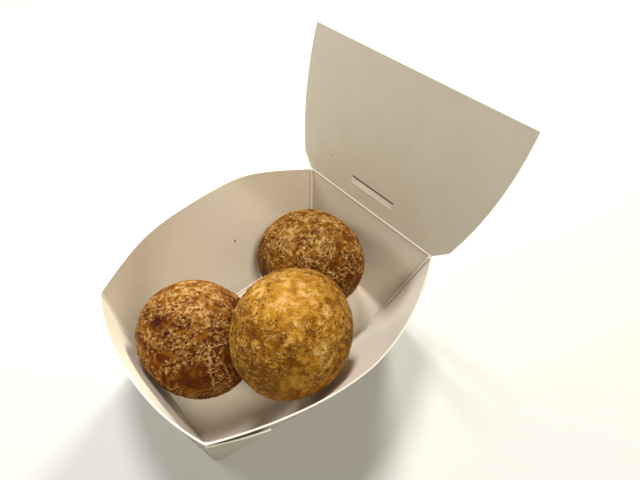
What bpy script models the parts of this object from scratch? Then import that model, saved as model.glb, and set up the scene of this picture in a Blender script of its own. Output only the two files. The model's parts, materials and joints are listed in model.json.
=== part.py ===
"""Three fried balls in an open paper tray with a hinged lid.

The tray is one sheet of board folded up: a floor, four walls and a glued ear at each corner.
Its side and front walls are bent outwards between the corners, so their tops bow, and the sides rise.
The lid is the same board. It hinges on the crease along the top of the short back wall.
Frame: the origin is the middle of the tray's underside, +Z is up, and the hinge is at +Y.
Metres throughout.
"""

import math
import random

import bmesh
import bpy
from mathutils import Euler, Vector

BOARD = 0.0005

FLOOR_WIDTH = 0.050
FLOOR_LENGTH = 0.091
WALL_HEIGHT = 0.0413

# How far each wall's top corners lean out past the floor.
SIDE_LEAN_BACK = 0.0081
SIDE_LEAN_FRONT = 0.0060
BACK_LEAN = 0.0058
FRONT_LEAN = 0.0002

# How far the middle of a bent wall's top stands out from the line between its corners, and rises.
SIDE_BOW = 0.0151
SIDE_RISE = 0.0028
SIDE_POWER = 1.78
FRONT_BOW = 0.0058
FRONT_POWER = 2.17

# The left wall isn't bent evenly: its top stands further out than the right wall's towards the back,
# and less far out in the middle. Each pair is a place from -1 at the front to 1 at the back, and how far.
LEFT_WAVE = ((-1.0, 0.0), (-0.6, 0.0006), (-0.05, -0.0012), (0.5, 0.0020), (1.0, 0.0))

# The share of a bent wall's top whose board folds straight up from the floor crease.
# The board on both sides of it turns round the floor's corners like cones.
SIDE_FLAT = 0.25
FRONT_FLAT = 0.30

# An ear runs this far along the wall's top, from this share of the wall's height to this one.
EAR_LENGTH = 0.0145
EAR_FOOT = 0.12
EAR_TOP = 0.967
EAR_SUNK = 0.0003

LID_LEAN = math.radians(9.5)
LID_LENGTH = 0.0574
LID_SHOULDER_AT = 0.0062
LID_SHOULDER = 0.0386
LID_WIDEST_AT = 0.0450
LID_WIDEST = 0.0442
HINGE_GAP = 0.0003

SLOT_AT = 0.0099
SLOT_LENGTH = 0.0218
SLOT_WIDTH = 0.0009

# name: centre, half axes, turn in degrees, seed of its lumps, colour
BALLS = {
    "ball_left": ((-0.0074, -0.0270, 0.0204), (0.0222, 0.0205, 0.0185), (-4, 22, 16), 3, (0.36, 0.18, 0.06)),
    "ball_front": ((0.0204, -0.0065, 0.0395), (0.0196, 0.0222, 0.0204), (-27, -9, 31), 8, (0.50, 0.28, 0.07)),
    "ball_back": ((-0.0066, 0.0268, 0.0227), (0.0244, 0.0209, 0.0205), (-14, -29, 10), 5, (0.40, 0.21, 0.06)),
}
LUMPS = 7
LUMP_SIZE = 0.007

# Facets
SIDE_STEPS = 20
FRONT_STEPS = 12
BACK_STEPS = 4
EAR_STEPS = 5
HEIGHT_STEPS = 3
LID_STEPS = 12
BALL_SEGMENTS = 32
BALL_RINGS = 20


def clear_scene():
    for scene_object in list(bpy.data.objects):
        bpy.data.objects.remove(scene_object)


def collection(name):
    made = bpy.data.collections.new(name)
    bpy.context.scene.collection.children.link(made)
    return made


def material(name, colour, roughness):
    made = bpy.data.materials.new(name)
    made.use_nodes = True
    shader = made.node_tree.nodes["Principled BSDF"]
    shader.inputs["Base Color"].default_value = (*colour, 1)
    shader.inputs["Roughness"].default_value = roughness
    shader.inputs["Metallic"].default_value = 0
    made.diffuse_color = (*colour, 1)
    return made


def place(name, data, home, finish=None):
    """A new object in the collection, with its material if it is a finished piece."""
    made = bpy.data.objects.new(name, data)
    home.objects.link(made)
    if finish:
        data.materials.append(finish)
    return made


def steps(count, first=-1.0, last=1.0):
    """count + 1 evenly spaced numbers from first to last."""
    return [first + (last - first) * step / count for step in range(count + 1)]


def bow(t, power):
    """1 in the middle of a wall's top, at t = 0, and 0 at its corners."""
    return 1 - abs(t) ** power


def crease_place(t, flat):
    """Where on the floor crease, from -1 to 1, the straight line up to place t of the wall's top starts."""
    return max(-1.0, min(1.0, t / flat))


def left_wave(t):
    """How much further out the left wall's top stands than the right wall's."""
    for (start, low), (end, high) in zip(LEFT_WAVE, LEFT_WAVE[1:]):
        if t <= end:
            share = max(0.0, (t - start) / (end - start))
            return low + (high - low) * share * share * (3 - 2 * share)
    return 0.0


def side_wall(t, left=False):
    """Foot and top of a line up the right wall's inner face: t is -1 at the front corner and 1 at the back.

    With left, it's the left wall, mirrored.
    """
    backness = (1 + t) / 2
    front_corner = -FLOOR_LENGTH / 2 - FRONT_LEAN
    back_corner = FLOOR_LENGTH / 2 + BACK_LEAN
    lean = SIDE_LEAN_FRONT + (SIDE_LEAN_BACK - SIDE_LEAN_FRONT) * backness
    foot = Vector((FLOOR_WIDTH / 2, crease_place(t, SIDE_FLAT) * FLOOR_LENGTH / 2, BOARD))
    top = Vector(
        (
            FLOOR_WIDTH / 2 + lean + SIDE_BOW * bow(t, SIDE_POWER) + (left_wave(t) if left else 0),
            front_corner + (back_corner - front_corner) * backness,
            BOARD + WALL_HEIGHT + SIDE_RISE * bow(t, SIDE_POWER),
        )
    )
    return foot, top


def front_wall(t):
    foot = Vector((crease_place(t, FRONT_FLAT) * FLOOR_WIDTH / 2, -FLOOR_LENGTH / 2, BOARD))
    top = Vector(
        (
            t * (FLOOR_WIDTH / 2 + SIDE_LEAN_FRONT),
            -FLOOR_LENGTH / 2 - FRONT_LEAN - FRONT_BOW * bow(t, FRONT_POWER),
            BOARD + WALL_HEIGHT,
        )
    )
    return foot, top


def back_wall(t):
    foot = Vector((t * FLOOR_WIDTH / 2, FLOOR_LENGTH / 2, BOARD))
    top = Vector((t * (FLOOR_WIDTH / 2 + SIDE_LEAN_BACK), FLOOR_LENGTH / 2 + BACK_LEAN, BOARD + WALL_HEIGHT))
    return foot, top


def mirrored(line):
    return [Vector((-point.x, point.y, point.z)) for point in line]


def wall_lines():
    """The lines up the walls, once round the tray from its front left corner."""
    lines = [front_wall(t) for t in steps(FRONT_STEPS)[:-1]]
    lines += [side_wall(t) for t in steps(SIDE_STEPS)[:-1]]
    lines += [back_wall(-t) for t in steps(BACK_STEPS)[:-1]]
    lines += [mirrored(side_wall(-t, left=True)) for t in steps(SIDE_STEPS)[:-1]]
    return lines


def ruled_surface(shape, lines, heights, closed):
    """Faces between neighbouring lines, cut at heights from 0 at the foot to 1 at the top."""
    rows = []
    for height in heights:
        rows.append([shape.verts.new(foot.lerp(top, height)) for foot, top in lines])
    for lower, upper in zip(rows, rows[1:]):
        for here in range(len(lines) if closed else len(lines) - 1):
            there = (here + 1) % len(lines)
            shape.faces.new((lower[here], lower[there], upper[there], upper[here]))
    return rows


def mesh_of(name, shape):
    made = bpy.data.meshes.new(name)
    shape.to_mesh(made)
    shape.free()
    return made


def tray_surface():
    """The inner faces of the walls and the floor, facing out."""
    shape = bmesh.new()
    rows = ruled_surface(shape, wall_lines(), steps(HEIGHT_STEPS, 0, 1), closed=True)
    tops = set(rows[-1])
    bmesh.ops.remove_doubles(shape, verts=rows[0], dist=1e-6)
    floor_edges = [edge for edge in shape.edges if edge.is_boundary and not tops.intersection(edge.verts)]
    bmesh.ops.contextual_create(shape, geom=floor_edges)
    bmesh.ops.recalc_face_normals(shape, faces=shape.faces)
    return mesh_of("tray", shape)


def ear_surface(name, corner, mirror):
    """The glued face of an ear on a side wall. corner is -1 at the front and 1 at the back."""
    past_corner = 2 * BOARD / FLOOR_LENGTH
    reach = 2 * EAR_LENGTH / FLOOR_LENGTH
    lines = []
    for step in steps(EAR_STEPS, -past_corner, reach):
        line = [point + Vector((EAR_SUNK, 0, 0)) for point in side_wall(corner * (1 - step), left=mirror)]
        lines.append(mirrored(line) if mirror else line)
    if (corner > 0) != mirror:
        lines.reverse()
    shape = bmesh.new()
    ruled_surface(shape, lines, steps(HEIGHT_STEPS, EAR_FOOT, EAR_TOP), closed=False)
    return mesh_of(name, shape)


def thicken(made, thickness):
    """Turns an open surface into board, added on the side that the surface faces."""
    board = made.modifiers.new("board", "SOLIDIFY")
    board.thickness = thickness
    board.offset = 1
    board.use_even_offset = True


def make_tray(home, guides, finish):
    tray = place("tray", tray_surface(), home, finish)
    thicken(tray, BOARD)
    for corner, along in ((-1, "front"), (1, "back")):
        for mirror, across in ((False, "right"), (True, "left")):
            name = f"ear_{along}_{across}"
            ear = place(name, ear_surface(name, corner, mirror), guides)
            thicken(ear, 2 * BOARD - EAR_SUNK)
            ear.hide_render = True
            ear.display_type = "WIRE"
            glued = tray.modifiers.new(name, "BOOLEAN")
            glued.operation = "UNION"
            glued.solver = "EXACT"
            glued.object = ear


def lid_half_width(along):
    """Half the lid's width at a distance along it: a bevelled corner at the hinge, then a slow bulge."""
    if along < LID_SHOULDER_AT:
        hinge_half = FLOOR_WIDTH / 2 + SIDE_LEAN_BACK
        return hinge_half + (LID_SHOULDER - hinge_half) * along / LID_SHOULDER_AT
    from_widest = (along - LID_WIDEST_AT) / (LID_WIDEST_AT - LID_SHOULDER_AT)
    return LID_WIDEST - (LID_WIDEST - LID_SHOULDER) * from_widest**2


def add_outline(curve, points):
    spline = curve.splines.new("POLY")
    spline.points.add(len(points) - 1)
    for point, (x, y) in zip(spline.points, points):
        point.co = (x, y, 0, 1)
    spline.use_cyclic_u = True


def make_lid(home, finish):
    """The lid lies in its own XY plane, with the hinge axis as its X and its length along its Y."""
    curve = bpy.data.curves.new("lid", "CURVE")
    curve.dimensions = "2D"
    curve.fill_mode = "BOTH"
    curve.extrude = BOARD / 2
    places = [HINGE_GAP] + steps(LID_STEPS, LID_SHOULDER_AT, LID_LENGTH)
    right = [(lid_half_width(along), along) for along in places]
    left = [(-x, along) for x, along in reversed(right)]
    add_outline(curve, right + left)
    slot_ends = ((-1, -1), (1, -1), (1, 1), (-1, 1))
    add_outline(curve, [(x * SLOT_LENGTH / 2, SLOT_AT + y * SLOT_WIDTH / 2) for x, y in slot_ends])
    lid = place("lid", curve, home, finish)
    lid.location = (0, FLOOR_LENGTH / 2 + BACK_LEAN + BOARD / 2, BOARD + WALL_HEIGHT + HINGE_GAP)
    lid.rotation_euler = (math.radians(90) - LID_LEAN, 0, 0)


def lump_waves(seed):
    """Slow waves across a ball: each has a direction, a count of waves and a phase."""
    draw = random.Random(seed)
    waves = []
    for _ in range(LUMPS):
        direction = Vector([draw.gauss(0, 1) for _ in range(3)]).normalized()
        waves.append((direction, draw.uniform(1.5, 4.5), draw.uniform(0, math.tau)))
    return waves


def make_ball(name, home):
    centre, half_axes, turn, seed, colour = BALLS[name]
    waves = lump_waves(seed)
    shape = bmesh.new()
    bmesh.ops.create_uvsphere(shape, u_segments=BALL_SEGMENTS, v_segments=BALL_RINGS, radius=1)
    for vertex in shape.verts:
        swell = sum(math.cos(count * vertex.co.dot(direction) + phase) for direction, count, phase in waves)
        vertex.co = vertex.co * Vector(half_axes) * (1 + LUMP_SIZE * swell)
    made = mesh_of(name, shape)
    made.shade_smooth()
    ball = place(name, made, home, material(f"{name}_crust", colour, 0.6))
    ball.location = centre
    ball.rotation_euler = Euler([math.radians(angle) for angle in turn])


def main():
    clear_scene()
    home = collection("fried_balls_in_tray")
    guides = collection("cutters")
    make_tray(home, guides, material("tray_board", (0.78, 0.74, 0.66), 0.55))
    make_lid(home, material("lid_board", (0.76, 0.72, 0.63), 0.55))
    for name in BALLS:
        make_ball(name, home)


main()
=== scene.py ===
"""Three fried batter balls in an open paper tray: the looks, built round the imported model."""

import json
import math
import random

import bmesh
import bpy
from mathutils import Euler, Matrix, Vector, noise


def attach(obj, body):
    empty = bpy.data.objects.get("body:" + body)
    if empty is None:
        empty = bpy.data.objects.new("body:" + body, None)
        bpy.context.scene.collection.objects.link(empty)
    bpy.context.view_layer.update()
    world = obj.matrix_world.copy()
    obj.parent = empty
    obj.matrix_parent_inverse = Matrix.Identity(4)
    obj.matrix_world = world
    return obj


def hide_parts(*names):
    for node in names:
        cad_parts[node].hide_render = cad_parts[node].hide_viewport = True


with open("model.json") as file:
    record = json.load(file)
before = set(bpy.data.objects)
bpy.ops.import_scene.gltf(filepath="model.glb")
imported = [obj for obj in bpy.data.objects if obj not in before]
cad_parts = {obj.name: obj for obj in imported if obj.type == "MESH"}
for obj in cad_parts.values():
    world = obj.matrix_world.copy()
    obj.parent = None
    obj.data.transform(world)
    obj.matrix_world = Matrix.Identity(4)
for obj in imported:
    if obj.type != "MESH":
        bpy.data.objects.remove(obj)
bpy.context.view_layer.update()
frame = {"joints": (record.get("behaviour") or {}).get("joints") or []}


# The view: down into the tray from its front right corner, from arm's length, with a wide lens.
camera = bpy.data.objects.new("camera", bpy.data.cameras.new("camera"))
bpy.context.scene.collection.objects.link(camera)
bpy.context.scene.camera = camera
camera.location = (0.06694, -0.04702, 0.15854)
camera.rotation_euler = [math.radians(angle) for angle in (40.15, -3.18, 46.58)]
camera.data.lens = 22.5
camera.data.clip_start = 0.005


# The surroundings: a plain pale table and four soft lamps: two behind the tray's left side, a high
# and a low one, which light its right and front walls, a dimmer one high on its right, and a small
# one close to its left.
class Shade:
    """A number or colour in a material. Arithmetic on numbers adds Math nodes."""

    def __init__(self, tree, socket=None):
        self.tree = tree
        self.socket = socket

    def node(self, kind, settings, sockets, output=0):
        made = self.tree.nodes.new(kind)
        for name, value in settings.items():
            if name == "stops":
                ramp = made.color_ramp.elements
                while len(ramp) < len(value):
                    ramp.new(0.5)
                for element, (place, level) in zip(ramp, value):
                    element.position = place
                    element.color = (level, level, level, 1)
            else:
                setattr(made, name, value)
        for name, value in sockets.items():
            if isinstance(value, Shade):
                self.tree.links.new(value.socket, made.inputs[name])
            else:
                made.inputs[name].default_value = value
        return Shade(self.tree, made.outputs[output])

    def math(self, operation, *terms):
        return self.node("ShaderNodeMath", {"operation": operation}, dict(enumerate(terms)))

    def __add__(self, other):
        return self.math("ADD", self, other)

    def __sub__(self, other):
        return self.math("SUBTRACT", self, other)

    def __rsub__(self, other):
        return self.math("SUBTRACT", other, self)

    def __mul__(self, other):
        return self.math("MULTIPLY", self, other)

    def __pow__(self, other):
        return self.math("POWER", self, other)

    __radd__ = __add__
    __rmul__ = __mul__

    def ramp(self, *stops):
        return self.node("ShaderNodeValToRGB", {"stops": stops}, {"Fac": self})

    def tint(self, first, second):
        """The first colour where this number is 0, and the second where it is 1."""
        settings = {"data_type": "RGBA", "clamp_factor": True}
        ends = {6: first, 7: second}
        for key, colour in ends.items():
            if not isinstance(colour, Shade):
                ends[key] = (*colour, 1)
        return self.node("ShaderNodeMix", settings, {0: self, **ends}, output=2)

    def noise(self, place, scale, detail=2, roughness=0.5):
        sockets = {"Vector": place, "Scale": scale, "Detail": detail, "Roughness": roughness}
        return self.node("ShaderNodeTexNoise", {}, sockets)

    def bump(self, height, distance, strength=1.0, normal=None):
        sockets = {"Height": height, "Distance": distance, "Strength": strength}
        if normal:
            sockets["Normal"] = normal
        return self.node("ShaderNodeBump", {}, sockets)


def new_material(name, fixed):
    """A material, the start of its shading, and its Principled BSDF with the fixed values set."""
    material = bpy.data.materials.new(name)
    material.use_nodes = True
    surface = material.node_tree.nodes["Principled BSDF"]
    for socket, value in fixed.items():
        surface.inputs[socket].default_value = value
    return material, Shade(material.node_tree), surface


def link(name, data):
    """A new object in the scene with this data."""
    made = bpy.data.objects.new(name, data)
    bpy.context.scene.collection.objects.link(made)
    return made


def mesh_of(name, shape):
    """The finished shape as a mesh. The shape goes."""
    made = bpy.data.meshes.new(name)
    shape.to_mesh(made)
    shape.free()
    return made


def facing(azimuth, elevation):
    """The unit vector that points this way, in degrees round from +X and up."""
    around, up = math.radians(azimuth), math.radians(elevation)
    return Vector((math.cos(around) * math.cos(up), math.sin(around) * math.cos(up), math.sin(up)))


TABLE_SIZE = 3.0
# name: azimuth and elevation in degrees, distance, width, power per square metre at the tray, colour
LAMPS = {
    "lamp_high": (150, 65, 1.0, 0.24, 2.64, (1.0, 0.985, 0.97)),
    "lamp_low": (120, 30, 1.0, 0.24, 3.6, (0.98, 1.0, 0.84)),
    "lamp_front": (345, 60, 1.0, 0.24, 1.69, (1.0, 0.935, 0.77)),
    "lamp_near": (210, 30, 0.4, 0.15, 0.98, (1.0, 0.99, 0.95)),
}

bpy.context.scene.view_settings.view_transform = "Standard"
table_shape = bmesh.new()
bmesh.ops.create_grid(table_shape, x_segments=1, y_segments=1, size=TABLE_SIZE / 2)
table = link("table", mesh_of("table", table_shape))
table_paint, _, _ = new_material("table_paint", {"Base Color": (0.54, 0.54, 0.54, 1), "Roughness": 0.8})
table.data.materials.append(table_paint)

for name, (azimuth, elevation, distance, width, power, colour) in LAMPS.items():
    lamp = link(name, bpy.data.lights.new(name, "AREA"))
    lamp.data.shape = "DISK"
    lamp.data.size = width
    lamp.data.energy = power * math.pi * distance**2
    lamp.data.color = colour
    lamp.location = facing(azimuth, elevation) * distance
    lamp.rotation_euler = (-lamp.location).to_track_quat("-Z", "Y").to_euler()

world = bpy.data.worlds.new("room")
world.use_nodes = True
world.node_tree.nodes["Background"].inputs["Color"].default_value = (1.0, 0.98, 0.95, 1)
world.node_tree.nodes["Background"].inputs["Strength"].default_value = 0.05
bpy.context.scene.world = world


# The tray: one sheet of half-millimetre board folded up. Its floor and short back wall are flat.
# Its side and front walls bend outwards between the corners, straight up from the floor crease in
# the middle and round the floor's corners like cones at both ends. The cut edge round the rim is raw.
BOARD = 0.0005
FLOOR_WIDTH = 0.050
FLOOR_LENGTH = 0.091
WALL_HEIGHT = 0.0413
SIDE_LEAN_BACK = 0.0081
SIDE_LEAN_FRONT = 0.0060
BACK_LEAN = 0.0058
FRONT_LEAN = 0.0002
SIDE_BOW = 0.0151
SIDE_RISE = 0.0028
SIDE_POWER = 1.78
SIDE_FLAT = 0.25
FRONT_BOW = 0.0058
FRONT_POWER = 2.17
FRONT_FLAT = 0.30
# The left wall's top is bent unevenly: places from the front at -1 to the back at 1, and how far out.
LEFT_WAVE = ((-1.0, 0.0), (-0.6, 0.0006), (-0.05, -0.0012), (0.5, 0.0020), (1.0, 0.0))


def steps(count, first=-1.0, last=1.0):
    """count + 1 evenly spaced numbers from first to last."""
    return [first + (last - first) * step / count for step in range(count + 1)]


def bow(t, power):
    """1 in the middle of a wall and 0 at its ends: a higher power keeps it near 1 for longer."""
    return 1 - abs(t) ** power


def crease_place(t, flat):
    """Where on the floor crease a wall's line starts: the lines past flat all start at its ends."""
    return max(-1.0, min(1.0, t / flat))


def left_wave(t):
    """How much further out the left wall's top stands than the right wall's."""
    for (start, low), (end, high) in zip(LEFT_WAVE, LEFT_WAVE[1:]):
        if t <= end:
            share = max(0.0, (t - start) / (end - start))
            return low + (high - low) * share * share * (3 - 2 * share)
    return 0.0


def side_wall(t, left=False):
    """Foot and top of a line up the right wall's inner face: t is -1 at the front corner and 1 at the back.

    With left, it's the left wall, mirrored.
    """
    backness = (1 + t) / 2
    front_corner = -FLOOR_LENGTH / 2 - FRONT_LEAN
    back_corner = FLOOR_LENGTH / 2 + BACK_LEAN
    lean = SIDE_LEAN_FRONT + (SIDE_LEAN_BACK - SIDE_LEAN_FRONT) * backness
    foot = Vector((FLOOR_WIDTH / 2, crease_place(t, SIDE_FLAT) * FLOOR_LENGTH / 2, BOARD))
    top = Vector(
        (
            FLOOR_WIDTH / 2 + lean + SIDE_BOW * bow(t, SIDE_POWER) + (left_wave(t) if left else 0),
            front_corner + (back_corner - front_corner) * backness,
            BOARD + WALL_HEIGHT + SIDE_RISE * bow(t, SIDE_POWER),
        )
    )
    return foot, top


def front_wall(t):
    foot = Vector((crease_place(t, FRONT_FLAT) * FLOOR_WIDTH / 2, -FLOOR_LENGTH / 2, BOARD))
    top = Vector(
        (
            t * (FLOOR_WIDTH / 2 + SIDE_LEAN_FRONT),
            -FLOOR_LENGTH / 2 - FRONT_LEAN - FRONT_BOW * bow(t, FRONT_POWER),
            BOARD + WALL_HEIGHT,
        )
    )
    return foot, top


def back_wall(t):
    foot = Vector((t * FLOOR_WIDTH / 2, FLOOR_LENGTH / 2, BOARD))
    top = Vector((t * (FLOOR_WIDTH / 2 + SIDE_LEAN_BACK), FLOOR_LENGTH / 2 + BACK_LEAN, BOARD + WALL_HEIGHT))
    return foot, top


def mirrored(line):
    """The same line on the other side of the tray."""
    return [Vector((-point.x, point.y, point.z)) for point in line]


def ruled_surface(shape, lines, heights, closed):
    """Faces between neighbouring lines, cut at heights from 0 at the foot to 1 at the top."""
    rows = []
    for height in heights:
        rows.append([shape.verts.new(foot.lerp(top, height)) for foot, top in lines])
    for lower, upper in zip(rows, rows[1:]):
        for here in range(len(lines) if closed else len(lines) - 1):
            there = (here + 1) % len(lines)
            shape.faces.new((lower[here], lower[there], upper[there], upper[here]))
    return rows


def feed(surface, **links):
    """Links shading to the surface's sockets. An underscore stands for a space in a socket's name."""
    for name, shade in links.items():
        surface.id_data.links.new(shade.socket, surface.inputs[name.replace("_", " ")])


def board_paint(name, base, shadow):
    """Matt board with faint blotches and fine fibres."""
    material, shade, surface = new_material(name, {"Roughness": 0.62, "Specular IOR Level": 0.3})
    place = shade.node("ShaderNodeTexCoord", {}, {}, output="Object")
    blotch = shade.noise(place, 90, detail=3, roughness=0.6)
    fibre = shade.noise(place, 2600, detail=2)
    mottle = blotch * 0.7 + fibre * 0.3
    feed(surface, Base_Color=mottle.ramp((0.35, 0), (0.65, 1)).tint(shadow, base))
    feed(surface, Normal=shade.bump(fibre + blotch * 2, 0.00006, 0.6))
    return material


def cut_paint(name, edge):
    """The board's raw cut edge."""
    material, shade, surface = new_material(name, {"Roughness": 0.8})
    place = shade.node("ShaderNodeTexCoord", {}, {}, output="Object")
    layers = shade.noise(place, 3200, detail=2)
    feed(surface, Base_Color=layers.ramp((0.3, 0), (0.7, 1)).tint([0.86 * c for c in edge], edge))
    return material


def meshed(piece):
    """The piece's mesh with its modifiers or its curve's bevel in it. The piece goes."""
    graph = bpy.context.evaluated_depsgraph_get()
    made = bpy.data.meshes.new_from_object(piece.evaluated_get(graph))
    bpy.data.objects.remove(piece)
    return made


def board_piece(name, shape, finishes, offset=1):
    """A piece of board with shape's faces as one side. Offset 1 adds the board outside them, 0 half each way.

    The finishes are the outside's, the cut edge's and the inside's.
    """
    sheet = link(f"{name}_sheet", mesh_of(f"{name}_sheet", shape))
    for finish in finishes:
        sheet.data.materials.append(finish)
    board = sheet.modifiers.new("board", "SOLIDIFY")
    board.thickness = BOARD
    board.offset = offset
    board.use_even_offset = True
    board.material_offset = 2
    board.material_offset_rim = 1
    mesh = meshed(sheet)
    mesh.shade_smooth()
    mesh.set_sharp_from_angle(angle=math.radians(20))
    return link(name, mesh)


inside = board_paint("tray_inside", (0.85, 0.785, 0.68), (0.82, 0.745, 0.64))
# The board's outside is the same board as the inside, painted darker: painted shade on the outer faces.
outside = board_paint("tray_outside_painted_shade", (0.52, 0.475, 0.385), (0.48, 0.435, 0.35))
tray_board = (outside, cut_paint("tray_cut", (0.88, 0.84, 0.74)), inside)
FRONT_LINES = 48
SIDE_LINES = 96
BACK_LINES = 16
WALL_ROWS = 16

tray_shape = bmesh.new()
tray_lines = [front_wall(t) for t in steps(FRONT_LINES)[:-1]]
tray_lines += [side_wall(t) for t in steps(SIDE_LINES)[:-1]]
tray_lines += [back_wall(-t) for t in steps(BACK_LINES)[:-1]]
tray_lines += [mirrored(side_wall(-t, left=True)) for t in steps(SIDE_LINES)[:-1]]
tray_rows = ruled_surface(tray_shape, tray_lines, steps(WALL_ROWS, 0, 1), closed=True)
rim = set(tray_rows[-1])
bmesh.ops.remove_doubles(tray_shape, verts=tray_rows[0], dist=1e-6)
floor_edges = [edge for edge in tray_shape.edges if edge.is_boundary and not rim.intersection(edge.verts)]
bmesh.ops.contextual_create(tray_shape, geom=floor_edges)
bmesh.ops.recalc_face_normals(tray_shape, faces=tray_shape.faces)
tray = board_piece("tray_board", tray_shape, tray_board)
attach(tray, "tray")
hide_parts("tray")


# The ears: at each corner the end walls carry a flap, folded round and glued to the outside of the
# side wall. A flap is held at its fold and along its foot, and its free top corner springs off the wall.
EAR_LENGTH = 0.0145
EAR_FOOT = 0.12
EAR_TOP = 0.967
EAR_STAND_OFF = {"front": 0.0008, "back": 0.0001}
EAR_CLEAR = 0.00006


def ear_lines(corner, mirror, stand_off):
    """Lines up an ear from its fold at a corner, -1 at the front or 1 at the back, along the side wall."""
    lines = []
    for step in steps(24, -2 * BOARD / FLOOR_LENGTH, 2 * EAR_LENGTH / FLOOR_LENGTH):
        foot, top = side_wall(corner * (1 - step), left=mirror)
        along = max(0.0, step) / (2 * EAR_LENGTH / FLOOR_LENGTH)
        foot = foot + Vector((BOARD + EAR_CLEAR, 0, 0))
        top = top + Vector((BOARD + EAR_CLEAR + stand_off * along**0.6, 0, 0))
        lines.append(mirrored((foot, top)) if mirror else (foot, top))
    if (corner > 0) != mirror:
        lines.reverse()
    return lines


for corner, end in ((-1, "front"), (1, "back")):
    for mirror, side in ((False, "right"), (True, "left")):
        ear_shape = bmesh.new()
        lines = ear_lines(corner, mirror, EAR_STAND_OFF[end])
        ruled_surface(ear_shape, lines, steps(10, EAR_FOOT, EAR_TOP), closed=False)
        ear = board_piece(f"ear_{end}_{side}", ear_shape, (outside, inside, outside))
        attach(ear, "tray")


# The creases: pressing the fold lines into the board leaves a pair of fine ridges beside the floor's
# folds, from halfway along its right side round its back and along its left side, with a thin rod
# between painted dark as the shade in the groove, and one broader ridge up each corner.
FLOOR_RIDGE = 0.00028
FLOOR_RIDGE_FROM_FOLD = 0.0006
GROOVE = 0.00011
FRONT_CORNER_RIDGE = 0.00036
BACK_CORNER_RIDGE = 0.0006
BACK_RIDGE_INSET = 0.0003
HINGE_GROOVE_DOWN = 0.018


def ridge_lines(name, lines, radius, finish):
    """Round rods along the lines, half sunk in the board."""
    curve = bpy.data.curves.new(name, "CURVE")
    curve.dimensions = "3D"
    curve.bevel_depth = radius
    curve.bevel_resolution = 3
    curve.use_fill_caps = True
    curve.materials.append(finish)
    for line in lines:
        spline = curve.splines.new("POLY")
        spline.points.add(len(line) - 1)
        for point, place in zip(spline.points, line):
            point.co = (*place, 1)
    return link(name, meshed(link(f"{name}_rods", curve)))


def floor_lines(inset, lift):
    """Lines round the back of the floor: from halfway up its right side to the front end of its left side."""
    x = FLOOR_WIDTH / 2 - inset
    y = FLOOR_LENGTH / 2 - inset
    corners = [Vector((*place, BOARD + lift)) for place in ((x, 0), (x, y), (-x, y), (-x, -y))]
    return [[start, end] for start, end in zip(corners, corners[1:])]


# The ridges are painted paler than the board: partly crushed fibre, partly painted highlight.
crease_paint, _, _ = new_material("crease_ridge", {"Base Color": (0.93, 0.88, 0.79, 1), "Roughness": 0.7})
# Painted shade for the thin dark rods in the creases, under the lid's crease and along the lip's fold.
crease_shade_paint, _, _ = new_material("crease_painted_shade", {"Base Color": (0.60, 0.47, 0.38, 1), "Roughness": 0.9})
floor_ridges = floor_lines(2 * FLOOR_RIDGE_FROM_FOLD, 0) + floor_lines(0, FLOOR_RIDGE_FROM_FOLD / 2)
front_ridges = [front_wall(t) for t in (-1, 1)]
back_ridges = []
for t in (-1, 1):
    inset = Vector((-t * BACK_RIDGE_INSET, -BACK_RIDGE_INSET, 0))
    back_ridges.append([point + inset for point in back_wall(t)])
# A thin dark rod just under the lid's crease on the back wall: painted shade below the crease.
foot, top = back_wall(-1)
under_lid = top.lerp(foot, HINGE_GROOVE_DOWN)
hinge_groove = [under_lid, mirrored([under_lid])[0]]
for name, lines, radius, finish in (
    ("floor_creases", floor_ridges, FLOOR_RIDGE, crease_paint),
    ("floor_grooves", floor_lines(FLOOR_RIDGE_FROM_FOLD, 0), GROOVE, crease_shade_paint),
    ("hinge_groove", [hinge_groove], GROOVE, crease_shade_paint),
    ("corner_creases_front", front_ridges, FRONT_CORNER_RIDGE, crease_paint),
    ("corner_creases_back", back_ridges, BACK_CORNER_RIDGE, crease_paint),
):
    ridges = ridge_lines(name, lines, radius, finish)
    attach(ridges, "tray")


# The lid: the sheet goes on past the crease at the back wall's top, cut with bevelled corners at
# the crease, slowly bulging sides and a straight free edge. A slit near the crease takes a tab when
# the tray is shut, and the strip of board below it is pushed back, so it catches the light.
LID_LEAN = math.radians(9.5)
LID_LENGTH = 0.0574
LID_SHOULDER_AT = 0.0062
LID_SHOULDER = 0.0386
LID_WIDEST_AT = 0.0450
LID_WIDEST = 0.0442
LID_START = 0.0003
SLIT_AT = 0.0101
SLIT_HALF = 0.0109
SLIT_GAP = 0.00055
SLIT_OVERLAP = 0.0002
SLIT_DEPTH = 0.6
SLIT_SUNK = 0.15
LIP_HEIGHT = 0.0027
LIP_PUSHED = 0.0007
CREASE_RIDGE = 0.00048

hinge = frame["joints"][0]
hinge_at = Vector(hinge["pos_m"])


def lid_half_width(along):
    """Half the lid's width at a distance from the crease."""
    if along < LID_SHOULDER_AT:
        hinge_half = FLOOR_WIDTH / 2 + SIDE_LEAN_BACK
        return hinge_half + (LID_SHOULDER - hinge_half) * along / LID_SHOULDER_AT
    from_widest = (along - LID_WIDEST_AT) / (LID_WIDEST_AT - LID_SHOULDER_AT)
    return LID_WIDEST - (LID_WIDEST - LID_SHOULDER) * from_widest**2


def flat_outline(curve, points):
    """Adds a closed outline to the curve. One inside another is a hole."""
    spline = curve.splines.new("POLY")
    spline.points.add(len(points) - 1)
    for point, (x, y) in zip(spline.points, points):
        point.co = (x, y, 0, 1)
    spline.use_cyclic_u = True


# The lid is the tray's board, painted darker inside: painted shade on its face turned from the lamps.
lid_inside_painted_shade = board_paint("lid_inside_painted_shade", (0.78, 0.715, 0.60), (0.745, 0.67, 0.55))
lid_board = (outside, cut_paint("lid_cut", (0.86, 0.81, 0.71)), lid_inside_painted_shade)

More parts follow.
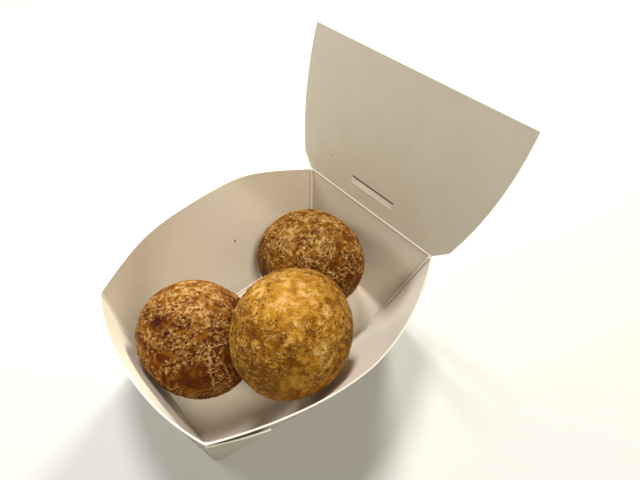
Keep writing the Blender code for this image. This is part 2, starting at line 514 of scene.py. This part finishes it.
# The lid lies flat while it's made: its crease is along X, its length along Y and its inside is up.
outline = bpy.data.curves.new("lid_outline", "CURVE")
outline.dimensions = "2D"
outline.fill_mode = "BOTH"
outline.extrude = BOARD / 2
places = [LID_START] + steps(60, LID_SHOULDER_AT, LID_LENGTH)
right = [(lid_half_width(along), along) for along in places]
flat_outline(outline, right + [(-x, along) for x, along in reversed(right)])
slit_foot = SLIT_AT - SLIT_GAP - LIP_HEIGHT
slit_window = [(-SLIT_HALF, slit_foot), (SLIT_HALF, slit_foot), (SLIT_HALF, SLIT_AT), (-SLIT_HALF, SLIT_AT)]
flat_outline(outline, slit_window)
lid = link("lid_board", meshed(link("lid_outline", outline)))
for finish in lid_board:
    lid.data.materials.append(finish)
for face in lid.data.polygons:
    face.material_index = 1 + round(face.normal.z)

# The lip is painted lighter than the lid: painted light, on top of what its pushed-back face catches.
lip_painted_light = board_paint("lip_inside_painted_light", (0.90, 0.84, 0.74), (0.80, 0.73, 0.62))
lip_shape = bmesh.new()
lip_lines = []
for x in steps(30, -SLIT_HALF, SLIT_HALF):
    lip_lines.append((Vector((x, 0, 0)), Vector((x, LIP_HEIGHT, 0))))
lip_rows = ruled_surface(lip_shape, lip_lines, steps(8, 0, 1), closed=False)
for row in lip_rows:
    for vertex in row:
        share = vertex.co.y / LIP_HEIGHT
        across = bow(vertex.co.x / SLIT_HALF, 8)
        vertex.co.z = -LIP_PUSHED * share * across
lip = board_piece("lid_lip", lip_shape, (lip_painted_light, lid_board[1], outside), offset=0)
lip.location = (0, slit_foot, 0)
# A thin dark rod along the lip's fold: painted shade in the fold.
lip_fold_end = Vector((SLIT_HALF, slit_foot, BOARD / 2))
lip_fold_start = Vector((-SLIT_HALF, slit_foot, BOARD / 2))
lip_fold = ridge_lines("lid_lip_fold", [[lip_fold_start, lip_fold_end]], GROOVE, crease_shade_paint)

# The slit's open cut is painted shadow: a dark sliver sunk a little below the lid's face.
slit_fixed = {"Roughness": 0.9, "Specular IOR Level": 0.1}
slit_material, slit_shade, slit_surface = new_material("slit_shadow", slit_fixed)
slit_place = slit_shade.node("ShaderNodeTexCoord", {}, {}, output="Object")
slit_fibre = slit_shade.noise(slit_place, 2500)
feed(slit_surface, Base_Color=slit_fibre.tint((0.020, 0.011, 0.005), (0.060, 0.036, 0.018)))
slit_shape = bmesh.new()
bmesh.ops.create_cube(slit_shape, size=1)
slit = link("lid_slit_painted_shadow", mesh_of("lid_slit_painted_shadow", slit_shape))
slit.scale = (2 * SLIT_HALF, SLIT_GAP + SLIT_OVERLAP, BOARD * SLIT_DEPTH)
slit.location = (0, SLIT_AT - SLIT_GAP / 2, -BOARD * SLIT_SUNK)
slit.data.materials.append(slit_material)

crease_end = Vector((FLOOR_WIDTH / 2 + SIDE_LEAN_BACK, 0, 0))
crease = ridge_lines("lid_crease", [[-crease_end, crease_end]], CREASE_RIDGE, crease_paint)
for piece in (lip, lip_fold, slit, crease):
    piece.parent = lid
lid.rotation_euler = (math.radians(90) - LID_LEAN, 0, 0)
lid.location = hinge_at
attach(lid, "lid")
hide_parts("lid")


# The specks: two specks of dirt stuck to the board, a dark one halfway up the left wall and a
# fainter one on the lid, near the slit. Each is a flattened grain.
WALL_SPECK_ALONG = 0.065
WALL_SPECK_UP = 0.495
SPECK_ROUGHNESS = 0.3
SPECK_FLATNESS = 0.5


def on_left_wall(along, up):
    """A place on the left wall's inner face: -1 to 1 from front to back, and 0 to 1 from foot to top."""
    foot, top = mirrored(side_wall(along, left=True))
    return foot.lerp(top, up)


wall_speck = on_left_wall(WALL_SPECK_ALONG, WALL_SPECK_UP)
wall_up = on_left_wall(WALL_SPECK_ALONG, 1) - wall_speck
wall_along = on_left_wall(WALL_SPECK_ALONG + 0.01, WALL_SPECK_UP) - wall_speck
# name: centre in its board's own frame, the board's face normal, half width, colour
SPECKS = {
    "speck_wall": (wall_speck, wall_along.cross(wall_up), 0.0006, (0.03, 0.02, 0.015)),
    "speck_lid": ((-0.0234, 0.0124, 0.00025), Vector((0, 0, 1)), 0.00032, (0.30, 0.23, 0.17)),
}

for name, (centre, normal, half_width, colour) in SPECKS.items():
    shape = bmesh.new()
    bmesh.ops.create_icosphere(shape, subdivisions=2, radius=half_width)
    for vertex in shape.verts:
        vertex.co = vertex.co * (1 + SPECK_ROUGHNESS * noise.noise(vertex.co * 3000))
        vertex.co.z *= SPECK_FLATNESS
    speck = link(name, mesh_of(name, shape))
    speck_paint, _, _ = new_material(f"{name}_dirt", {"Base Color": (*colour, 1), "Roughness": 0.8})
    speck.data.materials.append(speck_paint)
    speck.location = centre
    speck.rotation_euler = normal.to_track_quat("Z", "Y").to_euler()
    if name == "speck_lid":
        speck.parent = lid
    else:
        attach(speck, "tray")


# The balls: batter set round and then deep fried, so each has a thin, dry, wrinkled crust. Pale
# crests form a fine net over the brown, with smoother caramel patches, pits and a few burnt
# spots. Each ball is a solid of its own size and turn, lying against its neighbours.
MM = 0.001
GRID = 126
LUMPS = 7
LUMP_SIZE = 0.007
# name: half axes, turn in degrees, seed, centre
BALLS = {
    "ball_left": ((0.0222, 0.0205, 0.0185), (-4, 22, 16), 3, (-0.0074, -0.0270, 0.0204)),
    "ball_front": ((0.0196, 0.0222, 0.0204), (-27, -9, 31), 8, (0.0204, -0.0065, 0.0395)),
    "ball_back": ((0.0244, 0.0209, 0.0205), (-14, -29, 10), 5, (-0.0066, 0.0268, 0.0227)),
}

# Spots on the balls. name: azimuth and elevation in degrees seen from the ball's centre, radius in
# mm, strength. These spots are darker than the rest of the crust, or paler if their strength is
# negative: partly the crust's own browning, partly painted highlight on paler spots where light
# falls and painted shade on darker ones on the shaded sides.
SMOOTH_SPOTS = {
    "ball_left": [(-38, 20, 6.5, 1.0), (110, 50, 6, 0.6), (-60, -20, 6, 0.7)],
    "ball_front": [(100, 75, 7, 0.7), (-75, 84, 8, 0.8), (-40, 8, 6, 0.5), (-35, 30, 5, 0.4)],
    "ball_back": [(-80, 35, 5, 0.6), (30, 60, 6, 0.5), (-10, 10, 6, 0.4)],
}
BROWNING_AND_SHADING_SPOTS = {
    "ball_left": [
        (-36, 22, 6, 0.5), (-6, -3, 8, 0.7), (122, 64, 9, -1.2), (-135, 66, 5, 0.6), (-150, 10, 9, 0.4),
        (-50, 54, 9, 0.8), (-9, 34, 7, 0.7), (14, 50, 5, 0.9), (-10, 48, 4, 0.6), (104, 53, 4, 0.6),
        (13, 73, 4, -0.7),
    ],
    "ball_front": [
        (119, 70, 11, -0.3), (-75, 82, 7, -0.8), (-42, 2, 9, 0.3), (-130, 30, 8, 0.4), (-101, 55, 8, 0.9),
        (-83, 36, 7, 1.0), (-43, 50, 7, 1.0), (22, 47, 7, -0.9), (-5, 27, 7, -0.6), (-27, 16, 8, -0.7),
        (3, 54, 6, -0.4), (-150, 69, 4, 0.5),
    ],
    "ball_back": [
        (-4, 30, 9, 0.8), (-6, 20, 8, 0.5), (-116, 34, 8, 0.3), (61, 58, 6, -0.3), (113, 81, 8, -0.6),
        (-149, 64, 6, 0.1), (-81, 68, 4, -0.8), (19, 80, 4, 0.7),
    ],
}
BURNT_SPOTS = {
    "ball_left": [(-116, 57, 2.2, 1.2), (-84, 60, 1.2, 0.9), (-41, 15, 1.6, 0.4), (-30, -6, 3, 0.4)],
    "ball_front": [(-90, 47, 1.6, 0.5), (-41, 46, 1.7, 0.55), (-16, 66, 1.2, 0.4), (-52, 55, 0.9, 0.5)],
    "ball_back": [(-22, 80, 1.8, 0.5), (-40, 45, 1.4, 0.7), (-14, 64, 1.3, 0.4)],
}
BALL_RADIUS = 20

# Pale streaks on the balls. name: azimuth and elevation of both ends
STREAKS = {
    "ball_left": [(-5, 57, -21, 2)],
    "ball_front": [],
    "ball_back": [(-127, 60, -114, 44), (-136, 58, -124, 40), (-115, 62, -106, 46), (-65, 59, -40, 44)],
}

# How dry each crust is, from 0, smooth, to 1, and its colours: pits, brown, golden and pale crests.
DRYNESS = {"ball_left": 1.0, "ball_front": 0.62, "ball_back": 1.0}
CRUST_COLOURS = {
    "ball_left": ((0.034, 0.007, 0.0003), (0.09, 0.019, 0.001), (0.22, 0.077, 0.004), (0.455, 0.258, 0.09)),
    "ball_front": ((0.08, 0.024, 0.001), (0.205, 0.075, 0.003), (0.44, 0.205, 0.018), (0.63, 0.385, 0.138)),
    "ball_back": ((0.04, 0.009, 0.0003), (0.112, 0.027, 0.0008), (0.243, 0.091, 0.006), (0.5, 0.305, 0.102)),
}
BURNT_COLOUR = (0.052, 0.008, 0.0025)

# How far apart the crust's marks are, and how high its crests stand and how deep its pits go, in mm.
LUMP_SPAN = 7
HOLLOW_SPAN = 3.1
MOTTLE_SPAN = 5.5
PATCH_SPAN = 4.5
RAGGED_SPAN = 2.5
WRINKLE_SPAN = 1.15
FINE_SPAN = 0.55
BREAK_SPAN = 0.9
PIT_SPAN = 0.7
LUMP_HEIGHT = 0.34
HOLLOW_HEIGHT = 0.20
CREST_HEIGHT = 0.40
PIT_DEPTH = 0.26
BURNT_DEPTH = 0.12
# Each mark's noise is read from a place of its own, so that no two marks line up.
FINE_PLACE = Vector((7, 3, 1))
BREAK_PLACE = Vector((3, 11, 5))
PIT_PLACE = Vector((31, 5, 9))
MOTTLE_PLACE = Vector((9, 2, 4))
# The noise that bends the wrinkles is a new one in every run unless it is seeded.
WRINKLE_SEED = 4
noise.seed_set(WRINKLE_SEED)


def fade(low, high, value):
    """0 below low, 1 above high and a smooth step between."""
    share = max(0.0, min(1.0, (value - low) / (high - low)))
    return share * share * (3 - 2 * share)


def lump_waves(seed):
    """Slow waves across a ball: each has a direction, a count of waves and a phase."""
    draw = random.Random(seed)
    waves = []
    for _ in range(LUMPS):
        direction = Vector([draw.gauss(0, 1) for _ in range(3)]).normalized()
        waves.append((direction, draw.uniform(1.5, 4.5), draw.uniform(0, math.tau)))
    return waves


def round_cage():
    """A sphere of radius 1 made of six even grids, so that its faces are all about one size."""
    shape = bmesh.new()
    bmesh.ops.create_cube(shape, size=2)
    bmesh.ops.subdivide_edges(shape, edges=shape.edges, cuts=GRID - 1, use_grid_fill=True)
    for vertex in shape.verts:
        vertex.co = Vector([math.tan(along * math.pi / 4) for along in vertex.co]).normalized()
    return shape


def spot_marks(direction, spots, ragged):
    """The strengths of the spots that reach here, with ragged edges."""
    marks = [0.0]
    for azimuth, elevation, size, strength in spots:
        away = direction.angle(facing(azimuth, elevation)) * BALL_RADIUS
        marks.append(strength * (1 - fade(0.4 * size, 1.3 * size, away + ragged * size * 0.6)))
    return marks


def streak_marks(direction, streaks, wobble):
    """The pale streaks that reach here: each is a thin line between two places."""
    marks = [0.0]
    for azimuth, elevation, end_azimuth, end_elevation in streaks:
        start, end = facing(azimuth, elevation), facing(end_azimuth, end_elevation)
        middle = (start + end).normalized()
        across = direction.dot(start.cross(end).normalized()) * BALL_RADIUS + wobble
        along = direction.angle(middle) / start.angle(middle)
        marks.append((1 - fade(0.15, 0.42, abs(across))) * (1 - fade(0.8, 1.1, along)))
    return marks


def ridge(place):
    """1 on the crest of a wandering ridge, falling to about 0 between ridges."""
    return 1 - min(1.0, 2.6 * abs(noise.noise(place)))


def crust_at(place, direction, name, shift):
    """Height of the crust in mm above the ball's round form, with the marks that its colour needs."""
    p = place / MM + shift
    ragged = noise.noise(p / RAGGED_SPAN)
    smoothness = max(spot_marks(direction, SMOOTH_SPOTS[name], ragged))
    patches = noise.noise(p / PATCH_SPAN) + 0.4 * noise.noise(p / 2.0)
    rough = fade(-0.62, 0.10, patches) * (1 - 0.85 * smoothness) * DRYNESS[name]
    bent = p + noise.noise_vector(p / 5) * 1.6 + noise.noise_vector(p / 1.4) * 0.4
    wrinkle = ridge(bent / WRINKLE_SPAN)
    fine = ridge(bent / FINE_SPAN + FINE_PLACE)
    broken = fade(-0.30, 0.20, noise.noise(p / BREAK_SPAN + BREAK_PLACE))
    net = (0.65 * wrinkle**1.5 + 0.5 * fine**1.5) * (0.35 + 0.65 * broken)
    net = max(net, 0.9 * max(streak_marks(direction, STREAKS[name], 1.2 * noise.noise(p / 2))))
    pit = fade(0.10, 0.46, noise.noise(bent / PIT_SPAN + PIT_PLACE))
    burnt = max(spot_marks(direction, BURNT_SPOTS[name], noise.noise(p / 0.8)))
    # Painted shade: the crust is painted browner low down, on the balls' shaded undersides.
    brown = 0.5 + 0.5 * sum(spot_marks(direction, BROWNING_AND_SHADING_SPOTS[name], ragged)) + 0.6 * (0.4 - direction.z)
    mottle = 1.0 * noise.noise(p / MOTTLE_SPAN) + 1.6 * noise.noise(p / 1.9 + MOTTLE_PLACE)
    brown += mottle * (1 - 0.5 * smoothness)
    height = LUMP_HEIGHT * noise.noise(p / LUMP_SPAN) + HOLLOW_HEIGHT * noise.noise(p / HOLLOW_SPAN) - 0.08
    height += (0.2 + 0.8 * rough) * (CREST_HEIGHT * net - PIT_DEPTH * pit) - BURNT_DEPTH * burnt
    return height, net * (0.15 + 0.85 * rough), pit * (0.25 + 0.75 * rough), burnt, brown, rough


def crust_finish(name):
    """The crust's material. Its colours follow the marks that the mesh carries from crust_at."""
    dark, brown, golden, pale = CRUST_COLOURS[name]
    material, shade, surface = new_material(f"{name}_crust", {"Specular IOR Level": 0.06})
    place = shade.node("ShaderNodeTexCoord", {}, {}, output="Object")

    def mark(attribute):
        return shade.node("ShaderNodeAttribute", {"attribute_name": attribute}, {}, output="Fac")

    tone = shade.noise(place, 330, detail=4, roughness=0.6)
    grain = shade.noise(place, 1600, detail=3, roughness=0.6)
    speck = shade.noise(place, 800, detail=2)
    colour = (mark("brown") + tone * 2.6 - 1.3).tint(golden, brown)
    # Painted highlight: where the brown mark is well below 0, on the lit tops, the crust goes pale cream.
    colour = (mark("brown") * -1.2 - 0.15).tint(colour, pale)
    # The pits are painted dark: partly the crust's own darker hollows, partly painted shade in them.
    pit_shade_and_grain = mark("pit") * 0.95 + grain.ramp((0.28, 1), (0.50, 0)) * 0.55
    colour = pit_shade_and_grain.tint(colour, dark)
    crumbs = speck.ramp((0.52, 0), (0.70, 1)) * mark("rough") * 0.45
    crest = mark("net").ramp((0.24, 0), (0.74, 1)) * 0.85 + crumbs
    colour = crest.tint(colour, pale)
    colour = mark("burnt").tint(colour, BURNT_COLOUR)
    relief = grain * 0.6 + speck * 0.4
    feed(surface, Base_Color=colour)
    feed(surface, Roughness=mark("brown") * -0.08 + grain * 0.25 + 0.42)
    feed(surface, Normal=shade.bump(relief, 0.0005, 0.9))
    return material


for name, (half_axes, turn, seed, centre) in BALLS.items():
    waves = lump_waves(seed)
    shift = Vector((seed * 13.7, seed * 5.1, seed * 9.3))
    turned = Euler([math.radians(angle) for angle in turn])
    marks = {"net": [], "pit": [], "burnt": [], "brown": [], "rough": []}
    shape = round_cage()
    for vertex in shape.verts:
        swell = sum(math.cos(count * vertex.co.dot(along) + phase) for along, count, phase in waves)
        place = vertex.co * Vector(half_axes) * (1 + LUMP_SIZE * swell)
        direction = (turned.to_matrix() @ place).normalized()
        height, *values = crust_at(place, direction, name, shift)
        vertex.co = place + place.normalized() * height * MM
        for mark, value in zip(marks, values):
            marks[mark].append(value)
    mesh = mesh_of(name, shape)
    for mark, values in marks.items():
        mesh.attributes.new(mark, "FLOAT", "POINT").data.foreach_set("value", values)
    mesh.shade_smooth()
    ball = link(f"{name}_crust", mesh)
    ball.data.materials.append(crust_finish(name))
    ball.location = centre
    ball.rotation_euler = turned
    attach(ball, "tray")
    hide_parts(name)
